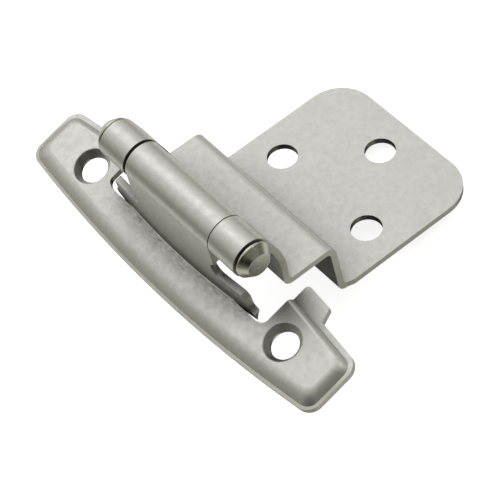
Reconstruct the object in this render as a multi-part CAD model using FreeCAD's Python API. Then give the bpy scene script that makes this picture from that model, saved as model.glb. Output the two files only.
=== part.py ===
import FreeCAD, Part
import math
import os

from FreeCAD import Vector

# Self-closing surface hinge for a 3/8 in lipped door, lying free in its over-closed rest position.
# Frame: origin midway between the frame screws on the mounting face, +X towards the door leaf,
# +Y along the pin, +Z into the room. Millimetres.

# Both pressed leaves
sheet = 1.05                # thickness
knuckle_r = 3.12            # outside radius of every rolled knuckle

# Pin axis and the leaf's free position
pin_offset = 4.87           # from the line of the frame screws
pin_height = 11.81          # above the mounting face
over_closed = 16.2          # degrees that the free leaf swings past its closed position

# Pin
barrel_fit = 0.05           # radial clearance in the frame leaf's barrel
knuckle_fit = 0.01          # radial clearance in the door leaf's knuckles, a push fit
cam_r = 1.55                # round side of the cam
cam_flat = 1.05             # from the pin axis to the cam's flat
cam_length = 16.6
head_length = 1.85
head_r = 2.88
head_end_r = 1.85           # the head's flat end
head_land = 0.3             # straight part of the head beside its cone
head_bevel = 0.35           # bevel under the head
head_gap = 0.04             # from the knuckle's end to the head
head_edge_r = 0.15          # rounding of the cone's two edges

# Closing spring, a split sleeve on the cam
spring_sheet = 0.4
spring_end_fit = 0.2        # from each end of the cam to the spring's end
spring_length = cam_length - 2 * spring_end_fit
spring_fit = 0.05           # round the cam's round side
spring_flat_fit = 0.01      # over the cam's flat
spring_lip = 0.5            # how far the anchor lip stands out of the sleeve
spring_flat_angle = 55.0    # direction of the flat, degrees from +X towards +Z
spring_lip_angle = 210.0
spring_slot = 50.0          # opening of the split sleeve, degrees

# Frame leaf: pressed pan
screw_spacing = 44.45
leaf_length = 65.3
leaf_width = 13.8
side_r = 245.0              # long side arcs
end_corner_r = 2.3
crown = 1.0                 # rise of the middle above the rim
rim = 0.5                   # flat rim on the outer side and at the ends
rim_inner = 0.8             # flat rim on the side of the tabs
slope_outer = 2.2           # width of the pressed slope on the outer side
slope_inner = 0.6           # and on the side of the tabs, at mid-length
slope_end = 1.75
top_inner_r = 180.0         # arc of the raised middle on the side of the tabs
top_corner_r = 1.5
pan_inset = 0.35            # how far the underside's outline lies inside the upper one
slope_steps = 4

# Frame leaf: screw holes
screw_hole_d = 4.35
sink_d = 5.8
sink_depth = 1.05
sink_lip_r = 0.25
dimple_d = 5.5              # pressed boss under each hole, at the pan's ceiling
dimple_drop = 0.5

# Frame leaf: tabs and notches
notch_y = 18.12             # edge of each tab from mid-length
notch_r = 1.1               # rounded inner end of each notch
notch_x = 0.9               # centre of that round
tab_reach = 8.4
tab_end_reach = 7.9
tab_width = 5.1
tab_end_slant = 18.5        # degrees
tab_corner_r = 0.7

# Frame leaf: flank wall, feet and barrel
crease_x = -0.85            # where the flank leaves the pan, at mid-length
crease_r = 130.0            # the crease is bowed
crease_fillet = 0.5
fold_strip = 2.2            # strip of the pan beside the crease that is bent with the flank
foot_y = 15.1               # end of each foot from mid-length
foot_top = 5.6
foot_bevel = 0.65
foot_flare_r = 1.3
relief_r = 1.4              # round between the barrel's end and the foot
relief_under = 0.95         # how far the relief cuts in under the barrel
barrel_length = 18.65
barrel_shift = -0.2         # the barrel sits a little nearer one knuckle
barrel_end_angle = -130.0   # where the roll ends, degrees from +X towards +Z

# Door leaf, before it is turned about the pin
window_width = 19.4         # opening for the barrel
window_floor = 2.2          # below the pin axis
window_corner_r = 1.0
curl_gap = 0.3              # from the end of each curl to the wall
wall_lean = 25.0            # degrees from upright where the wall leaves the knuckle
wall_straight = 2.98
wall_r = 14.0               # bow of the wall
band_drop = 9.9             # band's face below the pin axis
band_width = 30.4
valley_r = 0.45
ridge_r = 1.85
ridge_x = 13.6              # corner of band and drop, from the pin axis
door_step = 9.5             # 3/8 in, the lip of the door
drop_lean = 3.6
plate_end_x = 40.2
plate_width = 31.1
plate_corner_r = 6.0
plate_jog = 1.2             # length of the step from the band's width to the plate's
door_hole_d = 4.8
door_pair_x = 23.1
door_pair_spacing = 19.4
door_single_x = 34.25

# Worked out from the sizes above
bore_r = knuckle_r - sheet
pan_top = sheet + crown
half_band = band_width / 2
ACROSS = 60.0               # longer than any piece, for cutting tools
PIN = Vector(pin_offset, 0, pin_height)
ALONG = Vector(0, 1, 0)


def polar(radius, degrees, y=0.0):
    """A point round the pin axis, in the XZ plane."""
    angle = math.radians(degrees)
    return Vector(radius * math.cos(angle), y, radius * math.sin(angle))


def line(a, b):
    return Part.LineSegment(a, b).toShape()


def arc(a, middle, b):
    return Part.Arc(a, middle, b).toShape()


def polygon(points):
    return Part.Face(Part.makePolygon(points + points[:1]))


def cylinder_y(radius, y0, y1):
    """A round bar on the pin axis, before the axis is moved to its place."""
    return Part.makeCylinder(radius, y1 - y0, Vector(0, y0, 0), ALONG)


def vertical_edges_near(shape, points, reach=0.05):
    """Edges parallel to Z that stand at the given XY points."""
    found = []
    for edge in shape.Edges:
        a, b = edge.firstVertex().Point, edge.lastVertex().Point
        if math.hypot(a.x - b.x, a.y - b.y) > reach:
            continue
        if any(math.hypot(a.x - x, a.y - y) < reach for x, y in points):
            found.append(edge)
    return found


class BentStrip:
    """A sheet bent in the XZ plane: a walk along its outer face, with the sheet on the right."""

    def __init__(self, start, heading):
        self.at = start
        self.heading = heading
        self.outer = []
        self.inner = []

    def ahead(self):
        return polar(1.0, self.heading)

    def right(self):
        return polar(1.0, self.heading - 90)

    def across(self):
        """The point of the inner face opposite the present point."""
        return self.at + self.right() * sheet

    def straight(self, length):
        a, a_in = self.at, self.across()
        self.at = a + self.ahead() * length
        self.outer.append(line(a, self.at))
        self.inner.append(line(a_in, self.across()))

    def bend(self, radius, turn):
        """Turn by some degrees, left if positive, with this radius on the outer face."""
        side = 1 if turn > 0 else -1
        centre = self.at - self.right() * radius * side
        begin = self.heading - 90 * side
        radius_in = radius + sheet * side

        def edge(r):
            points = [centre + polar(r, begin + turn * share) for share in (0, 0.5, 1)]
            return arc(*points), points[2]

        outer, self.at = edge(radius)
        inner, _ = edge(radius_in)
        self.outer.append(outer)
        self.inner.append(inner)
        self.heading += turn

    def face(self):
        """The closed section of the strip."""
        first = self.outer[0].firstVertex().Point
        first_in = self.inner[0].firstVertex().Point
        caps = [line(first, first_in), line(self.at, self.across())]
        edges = Part.sortEdges(self.outer + self.inner + caps)[0]
        return Part.Face(Part.Wire(edges))


def lens(left, left_r, right, right_r, half_length, corner_r, z):
    """Closed outline with two bowed sides, straight ends and round corners."""

    def side_points(half_width, radius, sign):
        centre = half_width - radius
        reach = half_length - corner_r
        corner = centre + math.sqrt((radius - corner_r) ** 2 - reach ** 2)
        lean = math.atan2(reach, corner - centre)
        middle = (lean + math.pi / 2) / 2
        tangent = (centre + radius * math.cos(lean), radius * math.sin(lean))
        turn = (corner + corner_r * math.cos(middle), reach + corner_r * math.sin(middle))
        return [(sign * x, y) for x, y in ((half_width, 0), tangent, turn, (corner, half_length))]

    def at(point, flip=1):
        return Vector(point[0], point[1] * flip, z)

    r_mid, r_tan, r_turn, r_end = side_points(right, right_r, 1)
    l_mid, l_tan, l_turn, l_end = side_points(left, left_r, -1)
    edges = [
        arc(at(r_tan, -1), at(r_mid), at(r_tan)),
        arc(at(r_tan), at(r_turn), at(r_end)),
        line(at(r_end), at(l_end)),
        arc(at(l_end), at(l_turn), at(l_tan)),
        arc(at(l_tan), at(l_mid), at(l_tan, -1)),
        arc(at(l_tan, -1), at(l_turn, -1), at(l_end, -1)),
        line(at(l_end, -1), at(r_end, -1)),
        arc(at(r_end, -1), at(r_turn, -1), at(r_tan, -1)),
    ]
    return Part.Wire(edges)


def pressed_dome(inset, base):
    """The raised middle of the pan: outlines that climb steeply at the rim and level off."""
    half_width, half_length = leaf_width / 2, leaf_length / 2
    outlines = []
    for step in range(slope_steps + 1):
        share = step / slope_steps
        left = half_width - rim - inset - slope_outer * share
        right = half_width - rim_inner - inset - slope_inner * share
        right_r = side_r - rim_inner + (top_inner_r - side_r + rim_inner) * share
        length = half_length - rim - inset - slope_end * share
        corner_r = end_corner_r - rim + (top_corner_r - end_corner_r + rim) * share
        z = base + crown * math.sin(share * math.pi / 2)
        outlines.append(lens(left, side_r - rim, right, right_r, length, corner_r, z))
    return Part.makeLoft(outlines, True, False)


def countersink():
    """Tool for one screw hole: straight through, a cone, and a rounded upper lip."""
    hole_r, sink_r = screw_hole_d / 2, sink_d / 2
    floor = pan_top - sink_depth
    slope = math.atan2(sink_depth, sink_r - hole_r)
    tangent = sink_lip_r * math.tan(slope / 2)
    lip_out = Vector(sink_r + tangent, 0, pan_top)
    lip_in = Vector(sink_r - tangent * math.cos(slope), 0, pan_top - tangent * math.sin(slope))
    centre = Vector(sink_r + tangent, 0, pan_top - sink_lip_r)
    middle_angle = math.degrees(math.pi / 2 + slope / 2)
    lip_mid = centre + polar(sink_lip_r, middle_angle)
    above = Vector(lip_out.x, 0, pan_top + 1)
    top = Vector(0, 0, pan_top + 1)
    edges = [
        line(Vector(0, 0, -1), Vector(hole_r, 0, -1)),
        line(Vector(hole_r, 0, -1), Vector(hole_r, 0, floor)),
        line(Vector(hole_r, 0, floor), lip_in),
        arc(lip_in, lip_mid, lip_out),
        line(lip_out, above),
        line(above, top),
        line(top, Vector(0, 0, -1)),
    ]
    return Part.Face(Part.Wire(edges)).revolve(Vector(), Vector(0, 0, 1), 360)


def screw_seat():
    """The boss that the countersink's pressing pushes down into the pan."""
    top = crown
    low_r = (screw_hole_d + dimple_d) / 4
    height = dimple_drop + 0.2
    cone = Part.makeCone(low_r, dimple_d / 2, dimple_drop, Vector(0, 0, top - dimple_drop))
    plug = Part.makeCylinder(dimple_d / 2, height - dimple_drop, Vector(0, 0, top))
    return cone.fuse(plug)


def tab():
    """One flat tab at the level of the rim, on the +Y end."""
    points = [
        Vector(0, notch_y, 0),
        Vector(tab_reach, notch_y, 0),
        Vector(tab_end_reach, notch_y + tab_width, 0),
        Vector(0, notch_y + tab_width + tab_end_reach * math.tan(math.radians(tab_end_slant)), 0),
    ]
    solid = polygon(points).extrude(Vector(0, 0, sheet))
    corners = vertical_edges_near(solid, [(p.x, p.y) for p in points[1:3]])
    solid = solid.makeFillet(tab_corner_r, corners)
    keep = Part.makeBox(tab_reach, 2 * tab_width, sheet, Vector(leaf_width / 4, notch_y, 0))
    return solid.common(keep)


def notch_cut():
    """Plan of one notch, on the +Y end, cut down through the pan."""
    height = pan_top + 3
    slot = Part.makeBox(ACROSS, 2 * notch_r, height, Vector(notch_x, notch_y - 2 * notch_r, -1))
    inner_end = Part.makeCylinder(notch_r, height, Vector(notch_x, notch_y - notch_r, -1))
    return slot.fuse(inner_end)


def crease_at(y):
    return crease_x + crease_r - math.sqrt(crease_r ** 2 - y ** 2)


def flank_top_angle():
    """Direction from the pin axis of the line where the flank runs into the barrel."""
    dx, dz = crease_x - pin_offset, pan_top - pin_height
    return math.degrees(math.atan2(dz, dx)) + 360 - math.degrees(
        math.acos(knuckle_r / math.hypot(dx, dz)))


def flank():
    """Ruled wall from the bowed crease up to the straight line on the barrel."""
    half = notch_y - notch_r
    top = flank_top_angle()
    top_out = PIN + polar(knuckle_r, top)
    top_in = PIN + polar(bore_r, top)

    def foot_points(y):
        lean = math.atan2(top_out.x - crease_at(y), top_out.z - pan_top)
        x = crease_at(y) - (pan_top - crown) * math.tan(lean)
        return Vector(x, y, crown), Vector(x + sheet / math.cos(lean), y, crown)

    low = [foot_points(y) for y in (-half, 0, half)]
    across = Vector(0, half, 0)
    bottom = Part.Wire([
        arc(low[0][0], low[1][0], low[2][0]),
        line(low[2][0], low[2][1]),
        arc(low[2][1], low[1][1], low[0][1]),
        line(low[0][1], low[0][0]),
    ])
    upper = Part.Wire([
        line(top_out - across, top_out + across),
        line(top_out + across, top_in + across),
        line(top_in + across, top_in - across),
        line(top_in - across, top_out - across),
    ])
    return Part.makeLoft([bottom, upper], True, True)


def fold():
    """The flank on a strip of the pan, with the bend's inner and outer rounds."""
    half = notch_y - notch_r
    strip = Part.makeBox(fold_strip + sheet / 2, 2 * half, sheet,
                         Vector(crease_x - fold_strip, -half, crown))
    bent = strip.fuse(flank()).removeSplitter()
    bent = bent.makeFillet(crease_fillet, long_edges_at(bent, pan_top))
    return bent.makeFillet(crease_fillet + sheet, long_edges_at(bent, crown))


def long_edges_at(shape, z):
    """The edges at one height that run the whole length of the crease, the +X one."""
    found = []
    for edge in shape.Edges:
        box = edge.BoundBox
        level = abs(box.ZMin - z) < 0.01 and abs(box.ZMax - z) < 0.01
        if level and box.YLength > 2 * foot_y:
            found.append(edge)
    return [max(found, key=lambda edge: edge.CenterOfMass.x)]


def barrel():
    """The long knuckle, rolled from the top of the flank over the pin."""
    top = flank_top_angle()
    roll = BentStrip(polar(knuckle_r, top), top - 90)
    roll.bend(knuckle_r, barrel_end_angle - top)
    solid = roll.face().extrude(ALONG * barrel_length)
    solid.translate(PIN + ALONG * (barrel_shift - barrel_length / 2))
    return solid


def flank_end_cut(barrel_end, side):
    """Side view of what is cut away beyond the barrel, down to and past one foot."""
    low = pan_top
    relief_z = foot_top + relief_r
    relief_y = barrel_end - relief_under + relief_r
    above = math.sqrt(relief_r ** 2 - (relief_y - barrel_end) ** 2)
    flare = foot_y + foot_flare_r
    corner = relief_r * math.sqrt(0.5)

    def at(y, z):
        return Vector(-ACROSS / 2, side * y, z)

    edges = [
        line(at(barrel_end, pin_height + 2 * knuckle_r), at(barrel_end, relief_z + above)),
        arc(at(barrel_end, relief_z + above), at(relief_y - corner, relief_z - corner),
            at(relief_y, foot_top)),
        line(at(relief_y, foot_top), at(foot_y - foot_bevel, foot_top)),
        line(at(foot_y - foot_bevel, foot_top), at(foot_y, foot_top - foot_bevel)),
        line(at(foot_y, foot_top - foot_bevel), at(foot_y, low + foot_flare_r)),
        arc(at(foot_y, low + foot_flare_r),
            at(flare - foot_flare_r * math.sqrt(0.5), low + foot_flare_r * (1 - math.sqrt(0.5))),
            at(flare, low)),
        line(at(flare, low), at(ACROSS, low)),
        line(at(ACROSS, low), at(ACROSS, pin_height + 2 * knuckle_r)),
        line(at(ACROSS, pin_height + 2 * knuckle_r), at(barrel_end, pin_height + 2 * knuckle_r)),
    ]
    return Part.Face(Part.Wire(edges)).extrude(Vector(ACROSS, 0, 0))


def mirrored_y(shape):
    return shape.mirror(Vector(), ALONG)


def make_frame_leaf():
    """One pressed sheet: pan, tabs, bowed flank with feet, and the rolled barrel."""
    half_width, half_length = leaf_width / 2, leaf_length / 2
    outline = lens(half_width, side_r, half_width, side_r, half_length, end_corner_r, 0)
    pan = Part.Face(outline).extrude(Vector(0, 0, sheet))
    pan = pan.fuse([pressed_dome(0, sheet), tab(), mirrored_y(tab())])
    pan = pan.cut(pressed_dome(pan_inset, 0))
    for side in (-1, 1):
        place = ALONG * (side * screw_spacing / 2)
        seat, hole = screw_seat(), countersink()
        seat.translate(place)
        hole.translate(place)
        pan = pan.fuse(seat).cut(hole)

    half_open = notch_y - notch_r
    edge_x = crease_x - fold_strip / 2
    opening = Part.makeBox(ACROSS, 2 * half_open, pan_top + 2, Vector(edge_x, -half_open, -1))
    leaf = pan.cut(opening).fuse([fold(), barrel()]).removeSplitter()
    for side in (-1, 1):
        end = barrel_length / 2 + side * barrel_shift
        leaf = leaf.cut(flank_end_cut(end, side))
    leaf = leaf.cut([notch_cut(), mirrored_y(notch_cut())])
    return leaf.removeSplitter()


def door_profile():
    """Section of the door leaf: curl, bowed wall, band, drop and plate."""
    curl_end = wall_lean - math.degrees(math.acos((bore_r - curl_gap) / knuckle_r))
    drop_turn = 90 - drop_lean
    tangent = math.tan(math.radians(drop_turn / 2))
    drop_length = door_step / math.cos(math.radians(drop_lean))

    strip = BentStrip(polar(knuckle_r, curl_end), curl_end - 90)
    strip.bend(knuckle_r, wall_lean - 360 - curl_end)
    strip.straight(wall_straight)
    strip.bend(wall_r, -wall_lean)
    strip.straight(strip.at.z + band_drop - valley_r)
    strip.bend(valley_r, 90)
    strip.straight(ridge_x - ridge_r * tangent - strip.at.x)
    strip.bend(ridge_r, -drop_turn)
    strip.straight(drop_length - (ridge_r + valley_r) * tangent)
    strip.bend(valley_r, drop_turn)
    plate_start = strip.at.x
    strip.straight(plate_end_x - plate_start)
    return strip.face(), plate_start


def window():
    """Opening in the curl and the wall for the frame leaf's barrel."""
    half = window_width / 2
    tall = 2 * knuckle_r
    opening = Part.makeBox(3 * knuckle_r, window_width, tall + window_floor,
                           Vector(-1.5 * knuckle_r, -half, -window_floor))
    low_corners = [edge for edge in opening.Edges
                   if edge.BoundBox.YLength + edge.BoundBox.ZLength < sheet
                   and abs(edge.BoundBox.ZMin + window_floor) < sheet]
    opening = opening.makeFillet(window_corner_r, low_corners)
    under_pin = Part.makeBox(2.5 * knuckle_r, window_width, tall,
                             Vector(-1.5 * knuckle_r, -half, -tall))
    return opening.fuse(under_pin)


def make_door_leaf():
    """One pressed sheet, shaped closed on its door and then turned to its free position."""
    half_plate = plate_width / 2
    section, plate_start = door_profile()
    leaf = section.extrude(ALONG * plate_width)
    leaf.translate(ALONG * -half_plate)
    leaf = leaf.cut(window())

    low = -band_drop - door_step - sheet
    height = knuckle_r - low
    side = [
        Vector(-knuckle_r - 1, half_band, low - 1),
        Vector(plate_start, half_band, low - 1),
        Vector(plate_start + plate_jog, half_plate, low - 1),
        Vector(plate_start + plate_jog, half_plate + 1, low - 1),
        Vector(-knuckle_r - 1, half_plate + 1, low - 1),
    ]
    trim = polygon(side).extrude(Vector(0, 0, height + 2))
    leaf = leaf.cut([trim, mirrored_y(trim)])

    ends = [(plate_end_x, half_plate), (plate_end_x, -half_plate)]
    leaf = leaf.makeFillet(plate_corner_r, vertical_edges_near(leaf, ends))
    pair = door_pair_spacing / 2
    for x, y in ((door_pair_x, pair), (door_pair_x, -pair), (door_single_x, 0)):
        leaf = leaf.cut(Part.makeCylinder(door_hole_d / 2, sheet + 2, Vector(x, y, low - 1)))
    leaf.rotate(Vector(), ALONG, over_closed)
    leaf.translate(PIN)
    return leaf


def beyond_flat(distance):
    """Everything past a plane at this distance from the pin axis, on the cam's flat side."""
    block = Part.makeBox(ACROSS, 2 * ACROSS, ACROSS, Vector(distance, -ACROSS, -ACROSS / 2))
    block.rotate(Vector(), ALONG, -spring_flat_angle)
    return block


def pin_head():
    """The formed head on the +Y end: a bevel under it, a short land and a cone."""
    base = half_band + head_gap
    points = [
        Vector(0, base, 0),
        Vector(head_r - head_bevel, base, 0),
        Vector(head_r, base + head_bevel, 0),
        Vector(head_r, base + head_bevel + head_land, 0),
        Vector(head_end_r, base + head_length, 0),
        Vector(0, base + head_length, 0),
    ]
    head = polygon(points).revolve(Vector(), ALONG, 360)
    rims = [edge for edge in head.Edges
            if edge.BoundBox.YLength < 1e-6 and edge.BoundBox.XLength > head_end_r
            and edge.BoundBox.YMin > base + head_bevel + head_land / 2]
    return head.makeFillet(head_edge_r, rims)


def make_hinge_pin():
    """Turned pin: a cam between two bearing lands, push-fitted in the knuckles, two heads."""
    land_end = window_width / 2
    base = half_band + head_gap
    pin = cylinder_y(cam_r, -land_end, land_end).cut(beyond_flat(cam_flat))
    for side in (-1, 1):
        land = cylinder_y(bore_r - barrel_fit, cam_length / 2, land_end)
        shank = cylinder_y(bore_r - knuckle_fit, land_end, base)
        end = land.fuse([shank, pin_head()])
        pin = pin.fuse(end if side > 0 else mirrored_y(end))
    pin = pin.removeSplitter()
    pin.translate(PIN)
    return pin


def make_closing_spring():
    """Split sleeve of spring steel, flat on one side, with a lip that anchors in the barrel."""
    inner_r = cam_r + spring_fit
    outer_r = inner_r + spring_sheet
    flat = cam_flat + spring_flat_fit
    half = spring_length / 2
    outside = cylinder_y(outer_r, -half, half).cut(beyond_flat(flat + spring_sheet))
    inside = cylinder_y(inner_r, -half - 1, half + 1).cut(beyond_flat(flat))
    sleeve = outside.cut(inside)

    slot = [Vector(0, -half - 1, 0), polar(ACROSS, spring_lip_angle, -half - 1),
            polar(ACROSS, spring_lip_angle + spring_slot, -half - 1)]
    sleeve = sleeve.cut(polygon(slot).extrude(ALONG * (spring_length + 2)))
    aside = polar(spring_sheet / 2, spring_lip_angle - 90)
    root = polar(inner_r, spring_lip_angle, -half)
    tip = polar(outer_r + spring_lip, spring_lip_angle, -half)
    lip = polygon([root + aside, tip + aside, tip - aside, root - aside])
    spring = sleeve.fuse(lip.extrude(ALONG * spring_length)).removeSplitter()
    spring.translate(PIN)
    return spring


pieces = {
    "frame_leaf": make_frame_leaf(),
    "door_leaf": make_door_leaf(),
    "hinge_pin": make_hinge_pin(),
    "closing_spring": make_closing_spring(),
}

os.makedirs("parts", exist_ok=True)
for name, shape in pieces.items():
    solid = shape.Solids[0] if len(shape.Solids) == 1 else shape
    print(name, len(shape.Solids), shape.isValid(), round(shape.Volume, 1), shape.BoundBox)
    solid.exportStep(f"parts/{name}.step")
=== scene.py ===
import math

import bpy
from mathutils import Euler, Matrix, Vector


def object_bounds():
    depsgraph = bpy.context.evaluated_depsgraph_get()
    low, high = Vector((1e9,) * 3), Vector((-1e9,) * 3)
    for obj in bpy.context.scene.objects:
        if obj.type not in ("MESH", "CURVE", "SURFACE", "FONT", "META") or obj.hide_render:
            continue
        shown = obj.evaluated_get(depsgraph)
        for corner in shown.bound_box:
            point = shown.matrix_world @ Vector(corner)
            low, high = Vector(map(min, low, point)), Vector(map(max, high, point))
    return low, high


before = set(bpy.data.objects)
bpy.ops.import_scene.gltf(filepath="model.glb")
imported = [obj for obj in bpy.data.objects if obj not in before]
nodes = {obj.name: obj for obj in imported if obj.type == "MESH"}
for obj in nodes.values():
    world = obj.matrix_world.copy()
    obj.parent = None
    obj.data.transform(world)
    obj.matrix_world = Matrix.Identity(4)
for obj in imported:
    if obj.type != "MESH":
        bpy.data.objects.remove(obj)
cad_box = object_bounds()
scene = bpy.context.scene

# Camera
# A long lens looks down on the near end of the hinge, a little from the side of the frame leaf.
# Its place, turn and lens were fitted to the holes, edges and knuckles in the photograph.
MM = 0.001
lens = 161.4
sensor = 36.0
sideways = -0.0013
place = Vector((-17.43, -178.72, 265.30)) * MM
turn = Euler([math.radians(angle) for angle in (27.112, 19.970, -41.681)])
clip_near = 10 * MM
clip_far = 5.0

camera = bpy.data.objects.new("camera", bpy.data.cameras.new("camera"))
scene.collection.objects.link(camera)
camera.location = place
camera.rotation_euler = turn
camera.data.lens = lens
camera.data.sensor_width = sensor
camera.data.shift_x = sideways
camera.data.clip_start = clip_near
camera.data.clip_end = clip_far
scene.camera = camera
scene.view_settings.view_transform = "Standard"


def linear(colour):
    """An sRGB hex colour as linear RGBA."""
    parts = [int(colour[i:i + 2], 16) / 255 for i in (1, 3, 5)]
    return [c / 12.92 if c <= 0.04045 else ((c + 0.055) / 1.055) ** 2.4 for c in parts] + [1.0]


def add(tree, kind, settings=None, links=None):
    """Adds a node. A setting is an input, by name or number, or else a property of the node."""
    node = tree.nodes.new(kind)
    for name, value in (settings or {}).items():
        if isinstance(name, int) or name in node.inputs:
            node.inputs[name].default_value = value
        else:
            setattr(node, name, value)
    for name, socket in (links or {}).items():
        tree.links.new(socket, node.inputs[name])
    return node


# Frame leaf and door leaf
# Both are stamped from strip steel about a millimetre thick, folded and rolled, then barrel
# plated in satin nickel: a soft warm grey, faintly mottled, with a fine grain, shallow pits and
# a few small dark specks.
nickel = linear("#CFCECB")
nickel_dull = linear("#C7C6C2")
nickel_speck = linear("#8E8D80")
sheared_edge = linear("#D6D5CB")
rim_dull = linear("#B0AFA7")
# Dark for the smears on the pan and for the painted shade at the foot of the flank.
smear_and_shade_dark = linear("#6F6E62")
# Near white for a painted highlight along the crease.
painted_highlight_white = linear("#FBFAF4")
cloud_size = 4.0 * MM
mottle_size = 0.9 * MM
mottle_depth = 0.03 * MM
grain_size = 0.14 * MM
grain_depth = 0.01 * MM
speck_spacing = 1.5 * MM
pit_spacing = 2.4 * MM
pit_depth = 0.02 * MM
rim_top = 1.08 * MM
rim_foot = -0.01 * MM
rim_full = 0.3 * MM
rim_gone = 4.0 * MM
crease_x = -0.85 * MM
crease_r = 130.0 * MM
crease_half = 16.5 * MM
crease_fade = 0.8 * MM
pan_top = 2.05 * MM
mark_full = 0.9 * MM
mark_gone = 2.6 * MM
smear_size = 1.1 * MM
smear_stretch = (2.6, 0.9, 1.0)
smear_full = 0.3 * MM
smear_gone = 2.4 * MM
# Reach of the painted shade band and of the painted highlight line, from the crease.
shade_band_full = 0.05 * MM
shade_band_gone = 1.5 * MM
highlight_full = 0.05 * MM
highlight_gone = 0.11 * MM
# Reach and darkest tone of the painted shade in recesses.
recess_reach = 80 * MM
recess_tone = 0.03

satin_nickel = bpy.data.materials.new("satin_nickel_plated_steel")
satin_nickel.use_nodes = True
tree = satin_nickel.node_tree
tree.nodes.clear()
where = add(tree, "ShaderNodeTexCoord").outputs["Object"]
cloud = add(tree, "ShaderNodeTexNoise",
            {"Scale": 1 / cloud_size, "Detail": 3.0, "Roughness": 0.55}, {"Vector": where})
mottle = add(tree, "ShaderNodeTexNoise",
             {"Scale": 1 / mottle_size, "Detail": 4.0, "Roughness": 0.6}, {"Vector": where})
grain = add(tree, "ShaderNodeTexNoise",
            {"Scale": 1 / grain_size, "Detail": 2.0, "Roughness": 0.5}, {"Vector": where})
blend = add(tree, "ShaderNodeMath", {"operation": "MULTIPLY_ADD", 1: 0.5},
            {0: cloud.outputs["Fac"], 2: mottle.outputs["Fac"]})
share = add(tree, "ShaderNodeMapRange", {"From Min": 0.55, "From Max": 0.95},
            {"Value": blend.outputs["Value"]})
plain = add(tree, "ShaderNodeMix", {"data_type": "RGBA", "A": nickel_dull, "B": nickel},
            {"Factor": share.outputs["Result"]})

specks = add(tree, "ShaderNodeTexVoronoi", {"Scale": 1 / speck_spacing}, {"Vector": where})
speck_edge = add(tree, "ShaderNodeMapRange",
                 {"From Min": 0.05, "From Max": 0.11, "To Min": 1.0, "To Max": 0.0},
                 {"Value": specks.outputs["Distance"]})
few = add(tree, "ShaderNodeMapRange",
          {"From Min": 0.56, "From Max": 0.66, "To Min": 0.0, "To Max": 0.6},
          {"Value": cloud.outputs["Fac"]})
speck = add(tree, "ShaderNodeMath", {"operation": "MULTIPLY"},
            {0: speck_edge.outputs["Result"], 1: few.outputs["Result"]})
specked = add(tree, "ShaderNodeMix", {"data_type": "RGBA", "B": nickel_speck},
              {"Factor": speck.outputs["Value"], "A": plain.outputs["Result"]})

# Ends sheared across the strip face along the pin, and are a little paler and warmer. The flat
# rim round the pan is duller. It is found by its place: no higher than the sheet is thick, and
# fading out below the barrel.
normal = add(tree, "ShaderNodeSeparateXYZ", None,
             {0: add(tree, "ShaderNodeTexCoord").outputs["Normal"]})
along = add(tree, "ShaderNodeMath", {"operation": "ABSOLUTE"}, {0: normal.outputs["Y"]})
end_face = add(tree, "ShaderNodeMapRange", {"From Min": 0.90, "From Max": 0.98},
               {"Value": along.outputs["Value"]})
spot = add(tree, "ShaderNodeSeparateXYZ", None, {0: where})
below_top = add(tree, "ShaderNodeMath", {"operation": "LESS_THAN", 1: rim_top},
                {0: spot.outputs["Z"]})
above_foot = add(tree, "ShaderNodeMath", {"operation": "GREATER_THAN", 1: rim_foot},
                 {0: spot.outputs["Z"]})
short_of_barrel = add(tree, "ShaderNodeMapRange",
                      {"From Min": rim_full, "From Max": rim_gone, "To Min": 1.0, "To Max": 0.0},
                      {"Value": spot.outputs["X"]})
rim_height = add(tree, "ShaderNodeMath", {"operation": "MULTIPLY"},
                 {0: below_top.outputs["Value"], 1: above_foot.outputs["Value"]})
rim_face = add(tree, "ShaderNodeMath", {"operation": "MULTIPLY"},
               {0: rim_height.outputs["Value"], 1: short_of_barrel.outputs["Result"]})
rimmed = add(tree, "ShaderNodeMix", {"data_type": "RGBA", "B": rim_dull},
             {"Factor": rim_face.outputs["Value"], "A": specked.outputs["Result"]})
edged = add(tree, "ShaderNodeMix", {"data_type": "RGBA", "B": sheared_edge},
            {"Factor": end_face.outputs["Result"], "A": rimmed.outputs["Result"]})

# The frame leaf's flank rises from its pan at a curved crease. The press left smears on the pan
# beside it. A dark band at the foot of the flank is painted shade in the crease, and a thin
# bright line along it is a painted highlight.
centre = add(tree, "ShaderNodeVectorMath",
             {"operation": "MULTIPLY_ADD", 1: (1, 1, 0), 2: (-(crease_x + crease_r), 0, 0)},
             {0: where})
reach = add(tree, "ShaderNodeVectorMath", {"operation": "LENGTH"}, {0: centre.outputs["Vector"]})
outward = add(tree, "ShaderNodeMath", {"operation": "SUBTRACT", 1: crease_r},
              {0: reach.outputs["Value"]})
off_middle = add(tree, "ShaderNodeMath", {"operation": "ABSOLUTE"}, {0: spot.outputs["Y"]})
inside = add(tree, "ShaderNodeMapRange",
             {"From Min": crease_half - crease_fade, "From Max": crease_half,
              "To Min": 1.0, "To Max": 0.0}, {"Value": off_middle.outputs["Value"]})
low = add(tree, "ShaderNodeMapRange",
          {"From Min": pan_top + mark_full, "From Max": pan_top + mark_gone,
           "To Min": 1.0, "To Max": 0.0}, {"Value": spot.outputs["Z"]})
zone = add(tree, "ShaderNodeMath", {"operation": "MULTIPLY"},
           {0: inside.outputs["Result"], 1: low.outputs["Result"]})
streak = add(tree, "ShaderNodeMapping", {"Scale": smear_stretch}, {"Vector": where})
smear = add(tree, "ShaderNodeTexNoise",
            {"Scale": 1 / smear_size, "Detail": 5.0, "Roughness": 0.65},
            {"Vector": streak.outputs["Vector"]})
smear_patch = add(tree, "ShaderNodeMapRange", {"From Min": 0.38, "From Max": 0.62},
                  {"Value": smear.outputs["Fac"]})
smear_side = add(tree, "ShaderNodeMapRange",
                 {"From Min": smear_full, "From Max": smear_gone, "To Min": 0.55, "To Max": 0.0},
                 {"Value": outward.outputs["Value"]})
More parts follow.
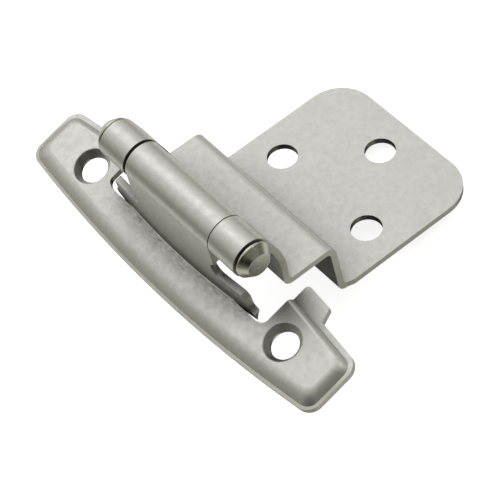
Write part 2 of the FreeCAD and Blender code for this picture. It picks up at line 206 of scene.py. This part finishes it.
smears = add(tree, "ShaderNodeMath", {"operation": "MULTIPLY"},
             {0: smear_patch.outputs["Result"], 1: smear_side.outputs["Result"]})
# Painted shade: a dark band at the foot of the flank, in the crease.
shade_band_side = add(tree, "ShaderNodeMapRange",
                {"From Min": -shade_band_gone, "From Max": -shade_band_full, "To Min": 0.0, "To Max": 0.6},
                {"Value": outward.outputs["Value"]})
on_flank = add(tree, "ShaderNodeMath", {"operation": "LESS_THAN", 1: 0.0},
               {0: outward.outputs["Value"]})
shade_band = add(tree, "ShaderNodeMath", {"operation": "MULTIPLY"},
           {0: shade_band_side.outputs["Result"], 1: on_flank.outputs["Value"]})
on_pan = add(tree, "ShaderNodeMath", {"operation": "SUBTRACT", 0: 1.0},
             {1: on_flank.outputs["Value"]})
pan_smears = add(tree, "ShaderNodeMath", {"operation": "MULTIPLY"},
                 {0: smears.outputs["Value"], 1: on_pan.outputs["Value"]})
smears_and_shade = add(tree, "ShaderNodeMath", {"operation": "ADD"},
                 {0: pan_smears.outputs["Value"], 1: shade_band.outputs["Value"]})
crease_smears_and_shade = add(tree, "ShaderNodeMath", {"operation": "MULTIPLY"},
                   {0: smears_and_shade.outputs["Value"], 1: zone.outputs["Value"]})
smeared_and_shaded = add(tree, "ShaderNodeMix", {"data_type": "RGBA", "B": smear_and_shade_dark},
             {"Factor": crease_smears_and_shade.outputs["Value"], "A": edged.outputs["Result"]})
# Painted highlight: a thin bright line along the crease.
off_crease = add(tree, "ShaderNodeMath", {"operation": "ABSOLUTE"}, {0: outward.outputs["Value"]})
highlight_line = add(tree, "ShaderNodeMapRange",
               {"From Min": highlight_full, "From Max": highlight_gone, "To Min": 0.8, "To Max": 0.0},
               {"Value": off_crease.outputs["Value"]})
painted_highlight = add(tree, "ShaderNodeMath", {"operation": "MULTIPLY"},
          {0: highlight_line.outputs["Result"], 1: zone.outputs["Value"]})
highlighted = add(tree, "ShaderNodeMix", {"data_type": "RGBA", "B": painted_highlight_white},
             {"Factor": painted_highlight.outputs["Value"], "A": smeared_and_shaded.outputs["Result"]})

# Painted shade: undersides, inner faces and gaps, which little light reaches, are darkened in the
# colour by ambient occlusion. Sheared ends keep a mid grey, open or not.
open_sky = add(tree, "ShaderNodeAmbientOcclusion", {"samples": 8, "Distance": recess_reach})
face_painted_shade = add(tree, "ShaderNodeMapRange",
                  {"From Min": 0.28, "From Max": 0.90, "To Min": recess_tone, "To Max": 1.0},
                  {"Value": open_sky.outputs["AO"]})
end_recess = add(tree, "ShaderNodeMapRange",
                 {"From Min": 0.05, "From Max": 0.50, "To Min": 0.48, "To Max": 0.62},
                 {"Value": open_sky.outputs["AO"]})
recess = add(tree, "ShaderNodeMix", None,
             {"Factor": end_face.outputs["Result"], "A": face_painted_shade.outputs["Result"],
              "B": end_recess.outputs["Result"]})
coat_with_painted_shade = add(tree, "ShaderNodeMix", {"data_type": "RGBA", "blend_type": "MULTIPLY", "Factor": 1.0},
           {"A": highlighted.outputs["Result"], "B": recess.outputs["Result"]})

# The real grain is finer than this, and is drawn coarser so that it shows.
rough = add(tree, "ShaderNodeMapRange",
            {"From Min": 0.3, "From Max": 0.7, "To Min": 0.47, "To Max": 0.38},
            {"Value": mottle.outputs["Fac"]})
pits = add(tree, "ShaderNodeTexVoronoi", {"Scale": 1 / pit_spacing}, {"Vector": where})
pit = add(tree, "ShaderNodeMapRange", {"From Min": 0.03, "From Max": 0.08},
          {"Value": pits.outputs["Distance"]})
grain_bump = add(tree, "ShaderNodeBump", {"Strength": 0.35, "Distance": grain_depth},
                 {"Height": grain.outputs["Fac"]})
mottle_bump = add(tree, "ShaderNodeBump", {"Strength": 0.4, "Distance": mottle_depth},
                  {"Height": mottle.outputs["Fac"], "Normal": grain_bump.outputs["Normal"]})
pit_bump = add(tree, "ShaderNodeBump", {"Strength": 0.6, "Distance": pit_depth},
               {"Height": pit.outputs["Result"], "Normal": mottle_bump.outputs["Normal"]})
shader = add(tree, "ShaderNodeBsdfPrincipled", {"Metallic": 1.0},
             {"Base Color": coat_with_painted_shade.outputs["Result"], "Roughness": rough.outputs["Result"],
              "Normal": pit_bump.outputs["Normal"]})
add(tree, "ShaderNodeOutputMaterial", links={"Surface": shader.outputs["BSDF"]})
for name in ("frame_leaf", "door_leaf"):
    nodes[name].material_slots[0].material = satin_nickel

# Hinge pin
# A turned steel pin, pressed in and headed over at both ends, nickel plated and smoother than
# the leaves, so that its cones mirror the studio. Fine turning marks run round its axis. They
# are drawn coarser than the real ones, so that they show.
pin_dull = linear("#B0AFA6")
pin_bright = linear("#C6C5BC")
pin_x, pin_z = 4.87 * MM, 11.81 * MM
haze_size = 0.7 * MM
haze_depth = 0.02 * MM
turning_pitch = 0.12 * MM
turning_depth = 0.004 * MM
edge_round = 0.12 * MM

turned_nickel = bpy.data.materials.new("turned_nickel_plated_steel")
turned_nickel.use_nodes = True
tree = turned_nickel.node_tree
tree.nodes.clear()
where = add(tree, "ShaderNodeTexCoord").outputs["Object"]
haze = add(tree, "ShaderNodeTexNoise", {"Scale": 1 / haze_size, "Detail": 5.0}, {"Vector": where})
rough = add(tree, "ShaderNodeMapRange",
            {"From Min": 0.3, "From Max": 0.7, "To Min": 0.18, "To Max": 0.30},
            {"Value": haze.outputs["Fac"]})
hazed = add(tree, "ShaderNodeMix", {"data_type": "RGBA", "A": pin_dull, "B": pin_bright},
            {"Factor": haze.outputs["Fac"]})
axis = add(tree, "ShaderNodeVectorMath",
           {"operation": "MULTIPLY_ADD", 1: (1, 0, 1), 2: (-pin_x, 0, -pin_z)}, {0: where})
radius = add(tree, "ShaderNodeVectorMath", {"operation": "LENGTH"}, {0: axis.outputs["Vector"]})
turns = add(tree, "ShaderNodeMath", {"operation": "MULTIPLY", 1: math.tau / turning_pitch},
            {0: radius.outputs["Value"]})
rings = add(tree, "ShaderNodeMath", {"operation": "SINE"}, {0: turns.outputs["Value"]})
rounded = add(tree, "ShaderNodeBevel", {"samples": 6, "Radius": edge_round})
turning = add(tree, "ShaderNodeBump", {"Strength": 0.25, "Distance": turning_depth},
              {"Height": rings.outputs["Value"], "Normal": rounded.outputs["Normal"]})
ripple = add(tree, "ShaderNodeBump", {"Strength": 0.5, "Distance": haze_depth},
             {"Height": haze.outputs["Fac"], "Normal": turning.outputs["Normal"]})
# Painted shade: the colour is darkened by ambient occlusion where little light reaches.
open_sky = add(tree, "ShaderNodeAmbientOcclusion", {"samples": 8, "Distance": recess_reach})
recess = add(tree, "ShaderNodeMapRange",
             {"From Min": 0.10, "From Max": 0.90, "To Min": 0.36, "To Max": 1.0},
             {"Value": open_sky.outputs["AO"]})
tone = add(tree, "ShaderNodeMix", {"data_type": "RGBA", "blend_type": "MULTIPLY", "Factor": 1.0},
           {"A": hazed.outputs["Result"], "B": recess.outputs["Result"]})
shader = add(tree, "ShaderNodeBsdfPrincipled", {"Metallic": 1.0},
             {"Base Color": tone.outputs["Result"], "Roughness": rough.outputs["Result"],
              "Normal": ripple.outputs["Normal"]})
add(tree, "ShaderNodeOutputMaterial", links={"Surface": shader.outputs["BSDF"]})
nodes["hinge_pin"].material_slots[0].material = turned_nickel

# Closing spring
# A split sleeve of hardened spring steel, which hugs the pin's cam inside the barrel and can't
# be seen. Its heat treatment blued it unevenly, from slate to a warm grey.
blued_slate = linear("#3A3D44")
blued_grey = linear("#5C5B58")
bluing_size = 1.2 * MM

spring_steel = bpy.data.materials.new("blued_spring_steel")
spring_steel.use_nodes = True
tree = spring_steel.node_tree
tree.nodes.clear()
where = add(tree, "ShaderNodeTexCoord").outputs["Object"]
bluing = add(tree, "ShaderNodeTexNoise", {"Scale": 1 / bluing_size, "Detail": 3.0},
             {"Vector": where})
tone = add(tree, "ShaderNodeMix", {"data_type": "RGBA", "A": blued_slate, "B": blued_grey},
           {"Factor": bluing.outputs["Fac"]})
shader = add(tree, "ShaderNodeBsdfPrincipled", {"Metallic": 1.0, "Roughness": 0.38},
             {"Base Color": tone.outputs["Result"]})
add(tree, "ShaderNodeOutputMaterial", links={"Surface": shader.outputs["BSDF"]})
nodes["closing_spring"].material_slots[0].material = spring_steel

# Studio
# A floor of white paper just under the lowest corner of the part, two square lamps, and a world
# that is bright high behind the door leaf and dimmer and warmer on the other side, with one dark
# patch over the near end of the frame leaf.
floor_near = linear("#F6F6F0")
floor_far = linear("#A8A89E")
floor_gap = 0.5 * MM
floor_half = 1.5
floor_glow = 0.85
floor_bright = 0.06
floor_dim = 0.22
floor_shade = 90 * MM
mirrored_glow = 0.35

bpy.ops.object.select_all(action="DESELECT")
bpy.ops.mesh.primitive_plane_add(size=2 * floor_half, location=(0, 0, cad_box[0].z - floor_gap))
floor = bpy.context.active_object
floor.name = "floor"

# The paper is painted grey far off, a painted fall-off of the light. The camera sees it glow, and
# the metal mirrors that glow at about a third of its strength. Where the part covers the floor, a
# painted shadow leaves no glow to mirror.
white_floor = bpy.data.materials.new("white_paper_floor")
white_floor.use_nodes = True
tree = white_floor.node_tree
tree.nodes.clear()
rays = add(tree, "ShaderNodeLightPath")
camera_or_mirror = add(tree, "ShaderNodeMath", {"operation": "MAXIMUM"},
                       {0: rays.outputs["Is Camera Ray"], 1: rays.outputs["Is Glossy Ray"]})
seen = add(tree, "ShaderNodeMath", {"operation": "MAXIMUM"},
           {0: camera_or_mirror.outputs["Value"], 1: rays.outputs["Is Transmission Ray"]})
where = add(tree, "ShaderNodeTexCoord").outputs["Object"]
away = add(tree, "ShaderNodeVectorMath", {"operation": "LENGTH"}, {0: where})
fade = add(tree, "ShaderNodeMapRange",
           {"interpolation_type": "SMOOTHSTEP", "From Min": floor_bright, "From Max": floor_dim,
            "To Min": 1.0, "To Max": 0.0}, {"Value": away.outputs["Value"]})
tone = add(tree, "ShaderNodeMix", {"data_type": "RGBA", "A": floor_far, "B": floor_near},
           {"Factor": fade.outputs["Result"]})
open_floor = add(tree, "ShaderNodeAmbientOcclusion", {"samples": 8, "Distance": floor_shade})
mirrored = add(tree, "ShaderNodeMapRange",
               {"From Min": 0.35, "From Max": 1.0, "To Max": mirrored_glow},
               {"Value": open_floor.outputs["AO"]})
shadow = add(tree, "ShaderNodeMix", {"A": 1.0},
             {"Factor": rays.outputs["Is Glossy Ray"], "B": mirrored.outputs["Result"]})
faded_glow = add(tree, "ShaderNodeMath", {"operation": "MULTIPLY", 1: floor_glow},
                 {0: fade.outputs["Result"]})
glow_power = add(tree, "ShaderNodeMath", {"operation": "MULTIPLY"},
                 {0: faded_glow.outputs["Value"], 1: shadow.outputs["Result"]})
paper = add(tree, "ShaderNodeBsdfDiffuse", None, {"Color": tone.outputs["Result"]})
glow = add(tree, "ShaderNodeEmission", {"Color": linear("#FFFFFF")},
           {"Strength": glow_power.outputs["Value"]})
lit = add(tree, "ShaderNodeAddShader", None,
          {0: paper.outputs["BSDF"], 1: glow.outputs["Emission"]})
mixed = add(tree, "ShaderNodeMixShader", None,
            {0: seen.outputs["Value"], 1: paper.outputs["BSDF"], 2: lit.outputs["Shader"]})
add(tree, "ShaderNodeOutputMaterial", links={"Surface": mixed.outputs["Shader"]})
floor.data.materials.append(white_floor)

# The wide lamp hangs high behind the door leaf, the small one over its near end.
bright_side = Vector((0.28, 0.57, 0.77)).normalized()
front_side = Vector((0.66, -0.37, 0.64)).normalized()
for name, side, distance, size, power in (("soft_light", bright_side, 0.9, 0.5, 0.60),
                                          ("front_light", front_side, 0.8, 0.14, 0.24)):
    lamp = bpy.data.objects.new(name, bpy.data.lights.new(name, "AREA"))
    scene.collection.objects.link(lamp)
    lamp.data.shape = "SQUARE"
    lamp.data.size = size
    lamp.data.energy = power
    lamp.location = side * distance
    lamp.rotation_euler = (-side).to_track_quat("-Z", "Y").to_euler()

# The dark patch's reach is given as cosines of the angle from its middle.
world_white = linear("#FDFDFB")
world_warm = linear("#F4F4DC")
world_low = 0.22
world_high = 0.97
dark_side = Vector((-0.68, -0.39, 0.61)).normalized()
dark_level = 0.01
dark_start = 0.80
dark_full = 0.93
world = bpy.data.worlds.new("studio")
scene.world = world
world.use_nodes = True
tree = world.node_tree
tree.nodes.clear()
direction = add(tree, "ShaderNodeTexCoord").outputs["Generated"]
to_bright = add(tree, "ShaderNodeVectorMath", {"operation": "DOT_PRODUCT", 1: bright_side},
                {0: direction})
level = add(tree, "ShaderNodeMapRange",
            {"interpolation_type": "SMOOTHSTEP", "From Min": 0.0, "From Max": 1.0,
             "To Min": world_low, "To Max": world_high}, {"Value": to_bright.outputs["Value"]})
to_dark = add(tree, "ShaderNodeVectorMath", {"operation": "DOT_PRODUCT", 1: dark_side},
              {0: direction})
shade = add(tree, "ShaderNodeMapRange",
            {"interpolation_type": "SMOOTHSTEP", "From Min": dark_start, "From Max": dark_full,
             "To Min": 1.0, "To Max": dark_level}, {"Value": to_dark.outputs["Value"]})
strength = add(tree, "ShaderNodeMath", {"operation": "MULTIPLY"},
               {0: level.outputs["Result"], 1: shade.outputs["Result"]})
warmth = add(tree, "ShaderNodeMix", {"data_type": "RGBA", "A": world_warm, "B": world_white},
             {"Factor": level.outputs["Result"]})
sky = add(tree, "ShaderNodeBackground", None,
          {"Color": warmth.outputs["Result"], "Strength": strength.outputs["Value"]})
add(tree, "ShaderNodeOutputWorld", links={"Surface": sky.outputs["Background"]})
